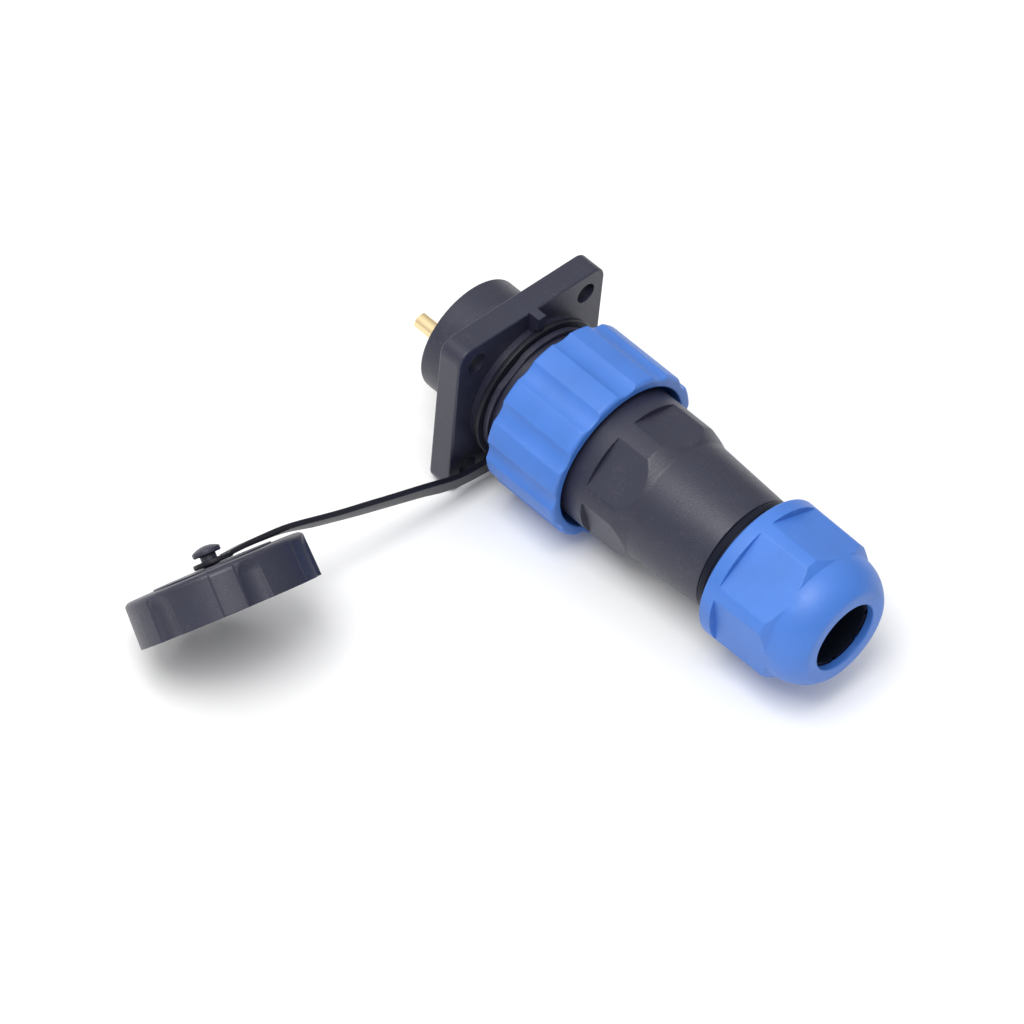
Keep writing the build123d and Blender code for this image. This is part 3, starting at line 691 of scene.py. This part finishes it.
SLOT_MATERIALS = {
    "black_nylon": black_nylon,
    "cap_nylon": cap_nylon,
    "blue_nylon": blue_nylon,
    "strap_rubber": strap_plastic,
    "seal_rubber": seal_rubber,
    "gold_plate": gold_plate,
}


# Pieces


class CONNECTOR_OT_carried_nodes(bpy.types.Operator):
    """Give every piece that keeps its CAD shape the finish of its slot"""

    bl_idname = "connector.carried_nodes"
    bl_label = "Plain Pieces"

    def execute(self, context):
        for row in frame["record"]["subparts"]:
            node = frame["nodes"][row["node"]]
            node.data.materials.clear()
            node.data.materials.append(SLOT_MATERIALS[row["material_slot"]]())
        return {"FINISHED"}


class CONNECTOR_OT_barrel_thread(bpy.types.Operator):
    """Cut the coupling thread of the receptacle's barrel"""

    bl_idname = "connector.barrel_thread"
    bl_label = "Barrel Thread"

    def execute(self, context):
        threads = context.scene.connector_threads
        core = threads.barrel_core
        start = threads.barrel_start
        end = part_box("receptacle_shell")[1].x - threads.barrel_stop
        piece = thread("barrel_thread", core, True, start, end, threads.starts, start, threads)
        hand_over(piece, "receptacle", "black_nylon", black_nylon())
        return {"FINISHED"}


class CONNECTOR_OT_coupling_nut(bpy.types.Operator):
    """Turn the coupling nut, press its soft flutes and cut its thread"""

    bl_idname = "connector.coupling_nut"
    bl_label = "Coupling Nut"

    def execute(self, context):
        nut = context.scene.connector_nut
        threads = context.scene.connector_threads
        low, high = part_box("coupling_nut")
        radius = (high.y - low.y) / 2
        lip_end = high.x - nut.recess_depth
        lip_start = lip_end - nut.lip_thickness
        wall = (low.x, radius), (high.x, radius)
        outline = rounded([
            (low.x, nut.thread_radius, SOFT),
            (low.x, radius, nut.front_round),
            # Rows that keep the faces along the flutes short
            *rows(*wall, low.x + 1.0 * MM, high.x - 1.2 * MM, 2.5 * MM),
            (high.x, radius, nut.rear_round),
            (high.x, nut.recess_radius, SOFT),
            (lip_end, nut.recess_radius, SMALL),
            (lip_end, nut.lip_radius, FINE),
            (lip_start, nut.lip_radius, FINE),
            (lip_start, nut.thread_radius, FINE),
        ])
        piece = turned("coupling_nut_body", outline, nut.flutes * 60)
        centre = radius - nut.flute_depth + nut.flute_radius

        def limit(stations, angles):
            from_end = np.minimum(stations - low.x, high.x - stations)
            short = np.clip(nut.flute_end_round - from_end, 0, nut.flute_end_round)
            edge = nut.flute_end_round - np.sqrt(nut.flute_end_round**2 - short**2)
            return round_groove(angles, nut.flute_phase, nut.flutes, centre, nut.flute_radius) - edge

        press(piece, limit, nut.crease)
        ridges = thread(
            "coupling_nut_thread",
            nut.thread_radius,
            False,
            low.x + nut.thread_start,
            lip_start - nut.thread_stop,
            threads.starts,
            threads.barrel_start + threads.pitch / 2,
            threads,
        )
        piece = joined("coupling_nut_body", [piece, ridges])
        hand_over(piece, "coupling_nut", "blue_nylon", blue_nylon(), "coupling_nut")
        return {"FINISHED"}


class CONNECTOR_OT_back_shell(bpy.types.Operator):
    """Turn the back shell, press its wrench flats and cut the gland's thread"""

    bl_idname = "connector.back_shell"
    bl_label = "Back Shell"

    def execute(self, context):
        shell = context.scene.connector_back_shell
        threads = context.scene.connector_threads
        low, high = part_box("back_shell")
        collar = (high.y - low.y) / 2
        cone_start = low.x + shell.collar_length
        cone_end = cone_start + shell.cone_length
        barrel_end = cone_end + shell.barrel_length
        flats_start = low.x + shell.flats_start
        step = NOTCH_LENGTH
        wall = (low.x, collar), (cone_start, collar)
        cone = (cone_start, collar), (cone_end, shell.barrel_front)
        outline = rounded(
            [
                (low.x, shell.seal_bore, CRISP),
                (low.x, collar, WIDE),
                # Fine rows at the notch, wide ones along the flats, and fine ones where they run out
                *rows(*wall, flats_start - step, flats_start + 2 * step, step / 2),
                *rows(*wall, flats_start + 0.6 * MM, cone_start - 0.8 * MM, 1.2 * MM),
                (cone_start, collar, 1.2 * MM),
                *rows(*cone, cone_start + 0.5 * MM, cone_end - 0.5 * MM, 0.12 * MM),
                (cone_end, shell.barrel_front, 1.5 * MM),
                (barrel_end, shell.barrel_rear, 0.25 * MM),
                (barrel_end, shell.thread_radius, CRISP),
                (high.x, shell.thread_radius, SOFT),
                (high.x, shell.space_rear, SMALL),
                (barrel_end, shell.space_rear, 0),
                (low.x + shell.tail_depth, shell.space_front, 0),
                (low.x + shell.tail_depth, shell.tail_bore, 0),
                (low.x + shell.seal_depth, shell.tail_bore, 0),
                (low.x + shell.seal_depth, shell.seal_bore, 0),
            ],
            steps=8,
        )
        piece = turned("back_shell_body", outline, NOTCH_STEPS)

        def limit(stations, angles):
            flats = flats_radius(angles, shell.flats_distance, shell.flats_angle)
            return flats + shell.flats_release * (1 - ease(stations, flats_start, step))

        press(piece, limit, shell.crease)
        ridges = thread(
            "gland_thread",
            shell.thread_radius,
            True,
            barrel_end + shell.thread_start,
            high.x - shell.thread_stop,
            1,
            barrel_end,
            threads,
        )
        piece = joined("back_shell_body", [piece, ridges])
        hand_over(piece, "plug", "black_nylon", black_nylon(), "back_shell")
        return {"FINISHED"}


class CONNECTOR_OT_gland_nut(bpy.types.Operator):
    """Turn the domed gland nut, press its wrench flats and cut its thread"""

    bl_idname = "connector.gland_nut"
    bl_label = "Gland Nut"

    def execute(self, context):
        nut = context.scene.connector_gland_nut
        threads = context.scene.connector_threads
        low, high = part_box("gland_nut")
        front_radius = (high.y - low.y) / 2
        body_end = low.x + nut.body_length
        dome_start = body_end + nut.shoulder_length
        mouth_start = high.x - nut.mouth_length
        thread_end = low.x + nut.thread_length
        flats_start = low.x + nut.collar_length
        step = NOTCH_LENGTH
        wall = (low.x, front_radius), (body_end, nut.body_rear)
        shoulder = (body_end, nut.body_rear), (dome_start, nut.dome_base)
        end = Vector((high.x, nut.end_radius))
        dome = arc_between((dome_start, nut.dome_base), end, nut.dome_bulge, 20)
        outline = rounded(
            [
                (low.x, nut.thread_radius, SOFT),
                (low.x, front_radius, WIDE),
                # Fine rows at the notch, wide ones along the flats, and fine ones where they run out
                *rows(*wall, flats_start - step, flats_start + 2 * step, step / 2),
                *rows(*wall, flats_start + 0.6 * MM, body_end - 0.5 * MM, 1.0 * MM),
                (body_end, nut.body_rear, 0.4 * MM),
                *rows(*shoulder, body_end + 0.3 * MM, dome_start - 0.2 * MM, 0.1 * MM),
                (dome_start, nut.dome_base, CRISP),
                *[(point.x, point.y, 0) for point in dome if (point - end).length > 0.7 * nut.end_round],
                (high.x, nut.end_radius, nut.end_round),
                (high.x, nut.mouth_radius, 0.25 * MM),
                (mouth_start, nut.mouth_radius, CRISP),
                (mouth_start, nut.finger_radius, 0),
                (dome_start - 2 * nut.shoulder_length, nut.hollow_radius, 0),
                (thread_end, nut.hollow_radius, 0),
                (thread_end, nut.thread_radius, 0),
            ],
            steps=8,
        )
        piece = turned("gland_nut_body", outline, NOTCH_STEPS)
        draft = (nut.flats_rear - nut.flats_front) / (dome_start - flats_start)

        def limit(stations, angles):
            distance = nut.flats_front + draft * (stations - flats_start)
            flats = flats_radius(angles, distance, nut.flats_angle)
            return flats + nut.flats_release * (1 - ease(stations, flats_start, step))

        press(piece, limit, nut.crease)
        shell = context.scene.connector_back_shell
        shell_length = shell.collar_length + shell.cone_length + shell.barrel_length
        barrel_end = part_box("back_shell")[0].x + shell_length
        ridges = thread(
            "gland_nut_thread",
            nut.thread_radius,
            False,
            low.x + nut.thread_start,
            thread_end - nut.thread_stop,
            1,
            barrel_end + threads.pitch / 2,
            threads,
        )
        piece = joined("gland_nut_body", [piece, ridges])
        hand_over(piece, "gland_nut", "blue_nylon", blue_nylon(), "gland_nut")
        return {"FINISHED"}


class CONNECTOR_OT_gland_gasket(bpy.types.Operator):
    """Turn the soft ring in front of the gland nut, with its thin bead"""

    bl_idname = "connector.gland_gasket"
    bl_label = "Gland Gasket"

    def execute(self, context):
        gasket = context.scene.connector_gasket
        low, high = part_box("gland_gasket")
        radius = (high.y - low.y) / 2
        band = radius - gasket.bead_height
        middle = (low.x + high.x) / 2
        half = gasket.bead_width / 2
        outline = rounded([
            (low.x, gasket.bore_radius, CRISP),
            (low.x, band, gasket.edge_round),
            (middle - half, band, 0.04 * MM),
            (middle - half, radius, 0.09 * MM),
            (middle + half, radius, 0.09 * MM),
            (middle + half, band, 0.04 * MM),
            (high.x, band, gasket.edge_round),
            (high.x, gasket.bore_radius, CRISP),
        ])
        piece = turned("gland_gasket_body", outline, 192)
        hand_over(piece, "plug", "seal_rubber", seal_rubber(), "gland_gasket")
        return {"FINISHED"}


class CONNECTOR_OT_cap(bpy.types.Operator):
    """Turn the cap with its disc, stem and button, and press its pads and grooves"""

    bl_idname = "connector.cap"
    bl_label = "Cap"

    def execute(self, context):
        cap = context.scene.connector_cap
        threads = context.scene.connector_threads
        stem_top = cap.disc_rise + cap.stem_length
        rim_top = stem_top + cap.button_rim
        dome_top = stem_top + cap.button_thickness
        dome_rise = cap.button_thickness - cap.button_rim
        dome_radius = (cap.button_radius**2 + dome_rise**2) / (2 * dome_rise)
        reach = math.asin(cap.button_radius / dome_radius)
        dome = []
        for step in range(7, 0, -1):
            part = reach * step / 8
            dome.append((dome_top - dome_radius * (1 - math.cos(part)), dome_radius * math.sin(part), 0))
        wall = (0, cap.top_radius), (-cap.height, cap.rim_radius)
        groove_end = -cap.groove_setback
        outline = rounded(
            [
                (dome_top, 0, 0),
                *reversed(dome),
                (rim_top, cap.button_radius, SMALL),
                (stem_top, cap.button_radius, 0.25 * MM),
                (stem_top, cap.stem_radius, FINE),
                (cap.disc_rise, cap.stem_radius, SMALL),
                (cap.disc_rise, cap.disc_radius, CRISP),
                (0, cap.disc_radius, CRISP),
                (0, cap.top_radius, cap.edge_round),
                # Fine rows where the grooves end, and wide ones down to the rim
                *rows(*wall, groove_end - 0.3 * MM, groove_end - 2.0 * MM, 0.12 * MM),
                *rows(*wall, groove_end - 2.4 * MM, -cap.height + 0.4 * MM, 0.8 * MM),
                (-cap.height, cap.rim_radius, cap.rim_round),
                (-cap.height, cap.bore_radius, FINE),
                (-cap.roof, cap.bore_radius, CRISP),
                (-cap.roof, 0, 0),
            ],
            closed=False,
            steps=7,
        )
        piece = turned("cap_body", outline, cap.grips * 120, closed=False)
        pitch = 2 * math.pi / cap.grips
        groove_centre = cap.rim_radius - cap.groove_depth + cap.groove_radius
        groove_top = -cap.groove_setback - cap.groove_radius / 2
        slope = (cap.top_radius - cap.rim_radius) / cap.height
        edge = cap.pad_edge

        def limit(heights, angles):
            off = np.abs((angles - cap.pad_angle + pitch / 2) % pitch - pitch / 2)
            land = 1 - ease(-off, -cap.pad_span / 2 - edge / 2, edge)
            wall = cap.top_radius + slope * heights - cap.pad_rise * land
            wall = np.where(heights > 0.01 * MM, 1.0, wall)
            radius = cap.groove_radius
            above = np.clip(heights - groove_top, 0, radius)
            groove = round_groove(angles, cap.groove_angle, cap.grips, groove_centre, radius, above)
            return soft_min(wall, groove, cap.crease)

        press(piece, limit, cap.crease)
        ridges = thread(
            "cap_thread",
            cap.bore_radius,
            False,
            -cap.height + cap.thread_start,
            -cap.roof - cap.thread_stop,
            threads.starts,
            0.0,
            threads,
        )
        piece = joined("cap_body", [piece, ridges])
        place_mesh(piece, cap_matrix())
        hand_over(piece, "cap", "cap_nylon", cap_nylon(), "cap")
        return {"FINISHED"}


class CONNECTOR_OT_strap(bpy.types.Operator):
    """Sweep the strap along its route, and turn its ring and its eye"""

    bl_idname = "connector.strap"
    bl_label = "Strap"

    def execute(self, context):
        strap = context.scene.connector_strap
        half = strap.thickness / 2
        ring = turned(
            "strap_ring",
            rounded([
                (strap.ring_station - half, strap.ring_inner, FINE),
                (strap.ring_station - half, strap.ring_outer, strap.edge_round),
                (strap.ring_station + half, strap.ring_outer, strap.edge_round),
                (strap.ring_station + half, strap.ring_inner, FINE),
            ]),
            192,
        )
        half = strap.eye_thickness / 2
        eye = turned(
            "strap_eye",
            rounded([
                (-half, strap.eye_hole, SMALL),
                (-half, strap.eye_radius, strap.edge_round),
                (half, strap.eye_radius, strap.edge_round),
                (half, strap.eye_hole, SMALL),
            ]),
            96,
        )
        cap_place = cap_matrix()
        up = cap_place.col[0].to_3d()
        stem = cap_place.translation + up * strap.eye_height
        pull = Vector(STRAP_ROUTE[-2][0]) * MM - stem
        pull = (pull - up * pull.dot(up)).normalized()
        eye_centre = stem + pull * strap.eye_slack
        eye_place = cap_place.copy()
        eye_place.translation = eye_centre
        place_mesh(eye, eye_place)
        last = Vector(STRAP_ROUTE[-1][0]) * MM
        towards = (eye_centre - last).normalized()
        route = [(Vector(point) * MM, math.radians(twist)) for point, twist in STRAP_ROUTE]
        route.append((eye_centre - towards * strap.eye_radius * TAIL_REACH, route[-1][1]))
        tail = self.tail(strap, route)
        piece = joined("cap_strap_body", [ring, eye, tail])
        hand_over(piece, "strap", "strap_rubber", strap_plastic(), "cap_strap")
        return {"FINISHED"}

    def tail(self, strap, route):
        """A strip with rounded edges through the route's points, twisted as they say."""
        stations = []
        for index in range(len(route) - 1):
            before = route[max(index - 1, 0)]
            first, second = route[index], route[index + 1]
            after = route[min(index + 2, len(route) - 1)]
            for step in range(ROUTE_STEPS):
                stations.append(self.between(before, first, second, after, step / ROUTE_STEPS))
        stations.append(route[-1])
        width, thick = strap.width / 2, strap.thickness / 2
        section = rounded(
            [
                (-width, -thick, strap.edge_round),
                (width, -thick, strap.edge_round),
                (width, thick, strap.edge_round),
                (-width, thick, strap.edge_round),
            ],
            steps=4,
        )
        mesh = bpy.data.meshes.new("strap_tail")
        form = bmesh.new()
        loops = []
        for index, (point, twist) in enumerate(stations):
            ahead = stations[min(index + 1, len(stations) - 1)][0]
            behind = stations[max(index - 1, 0)][0]
            heading = (ahead - behind).normalized()
            upper = Vector((math.sin(twist), 0, math.cos(twist)))
            upper = (upper - heading * upper.dot(heading)).normalized()
            side = heading.cross(upper)
            thinned = ease(index, len(stations) - 1 - THINNING_STEPS, THINNING_STEPS)
            thin = TAIL_SHARE * (1 + thinned * (strap.eye_thickness / strap.thickness - 1))
            loops.append([form.verts.new(point + upper * p.x + side * p.y * thin) for p in section])
        for first, second in zip(loops, loops[1:]):
            for index in range(len(section)):
                after = (index + 1) % len(section)
                form.faces.new((first[index], first[after], second[after], second[index]))
        form.faces.new(loops[0])
        form.faces.new(list(reversed(loops[-1])))
        for vert in form.verts:
            reach = math.hypot(vert.co.y, vert.co.z)
            least = strap.ring_inner + TAIL_CLEARANCE
            if reach < least and vert.co.y > -strap.ring_outer:
                vert.co.y *= least / reach
                vert.co.z *= least / reach
        form.to_mesh(mesh)
        form.free()
        piece = bpy.data.objects.new("strap_tail", mesh)
        bpy.context.scene.collection.objects.link(piece)
        edit(piece)
        return finish_mesh(piece, 50)

    def between(self, before, first, second, after, part):
        """Point and twist between first and second on a smooth line through all four."""
        point = (
            2 * first[0]
            + (second[0] - before[0]) * part
            + (2 * before[0] - 5 * first[0] + 4 * second[0] - after[0]) * part**2
            + (3 * first[0] - before[0] - 3 * second[0] + after[0]) * part**3
        ) / 2
        return point, first[1] + (second[1] - first[1]) * part * part * (3 - 2 * part)


# Stage


class CONNECTOR_OT_stage(bpy.types.Operator):
    """Lay the white floor, hang one soft light in a white tent and place the camera"""

    bl_idname = "connector.stage"
    bl_label = "Stage"

    def execute(self, context):
        scene = context.scene
        scene.view_settings.view_transform = "Standard"
        bpy.ops.object.select_all(action="DESELECT")
        bpy.ops.mesh.primitive_plane_add(size=FLOOR_SIZE, location=(0, 0, cad_box[0].z))
        floor = context.object
        floor.name = "floor"
        floor.data.materials.append(floor_paint())
        right, up, back = camera_axes()
        scene.world = self.tent((-0.25 * right + 0.65 * up + 0.7 * back).normalized())
        place = -0.15 * right + 0.42 * up + back
        bpy.ops.object.light_add(type="AREA", location=place)
        light = context.object
        light.name = "softbox"
        light.data.size = LIGHT_SIZE
        light.data.energy = LIGHT_POWER
        light.rotation_euler = place.to_track_quat("Z", "Y").to_euler()
        camera = bpy.data.objects.new("camera", bpy.data.cameras.new("camera"))
        scene.collection.objects.link(camera)
        camera.data.lens = CAMERA_LENS
        camera.data.sensor_width = CAMERA_SENSOR
        camera.data.clip_end = 20
        turn = Matrix((right, up, back)).transposed().to_4x4()
        turn.translation = CAMERA_PLACE
        camera.matrix_world = turn
        scene.camera = camera
        return {"FINISHED"}

    def tent(self, bright_side):
        """A white light tent round the connector, brighter on one side than on the other."""
        world = bpy.data.worlds.new("light_tent")
        world.use_nodes = True
        world.node_tree.nodes.clear()
        direction = add(world, "ShaderNodeTexCoord").outputs["Generated"]
        facing = add(
            world,
            "ShaderNodeVectorMath",
            {"operation": "DOT_PRODUCT", 1: bright_side},
            {0: direction},
        )
        strength = add(
            world,
            "ShaderNodeMapRange",
            {"From Min": -0.2, "From Max": 1.0, "To Min": 0.25, "To Max": 1.1},
            {"Value": facing.outputs["Value"]},
        )
        background = add(
            world,
            "ShaderNodeBackground",
            {"Color": (1, 1, 1, 1)},
            {"Strength": strength.outputs[0]},
        )
        add(world, "ShaderNodeOutputWorld", links={"Surface": background.outputs[0]})
        return world


class CONNECTOR_PT_panel(bpy.types.Panel):
    """Buttons for the connector's pieces"""

    bl_idname = "CONNECTOR_PT_panel"
    bl_label = "Connector"
    bl_space_type = "VIEW_3D"
    bl_region_type = "UI"
    bl_category = "Connector"

    def draw(self, context):
        for step in STEPS:
            self.layout.operator(step.bl_idname)


STEPS = (
    CONNECTOR_OT_carried_nodes,
    CONNECTOR_OT_barrel_thread,
    CONNECTOR_OT_coupling_nut,
    CONNECTOR_OT_back_shell,
    CONNECTOR_OT_gland_nut,
    CONNECTOR_OT_gland_gasket,
    CONNECTOR_OT_cap,
    CONNECTOR_OT_strap,
    CONNECTOR_OT_stage,
)
GROUPS = {
    "connector_threads": ConnectorThreads,
    "connector_nut": ConnectorNut,
    "connector_back_shell": ConnectorBackShell,
    "connector_gland_nut": ConnectorGlandNut,
    "connector_gasket": ConnectorGasket,
    "connector_cap": ConnectorCap,
    "connector_strap": ConnectorStrap,
    "connector_finish": ConnectorFinish,
}


def register():
    for group in GROUPS.values():
        bpy.utils.register_class(group)
    for step in STEPS:
        bpy.utils.register_class(step)
    bpy.utils.register_class(CONNECTOR_PT_panel)
    for name, group in GROUPS.items():
        setattr(bpy.types.Scene, name, PointerProperty(type=group))


def unregister():
    for name in GROUPS:
        delattr(bpy.types.Scene, name)
    bpy.utils.unregister_class(CONNECTOR_PT_panel)
    for step in reversed(STEPS):
        bpy.utils.unregister_class(step)
    for group in reversed(GROUPS.values()):
        bpy.utils.unregister_class(group)


def main():
    register()
    bpy.ops.connector.carried_nodes()
    bpy.ops.connector.barrel_thread()
    bpy.ops.connector.coupling_nut()
    bpy.ops.connector.back_shell()
    bpy.ops.connector.gland_nut()
    bpy.ops.connector.gland_gasket()
    bpy.ops.connector.cap()
    bpy.ops.connector.strap()
    bpy.ops.connector.stage()


if __name__ == "__main__":
    main()
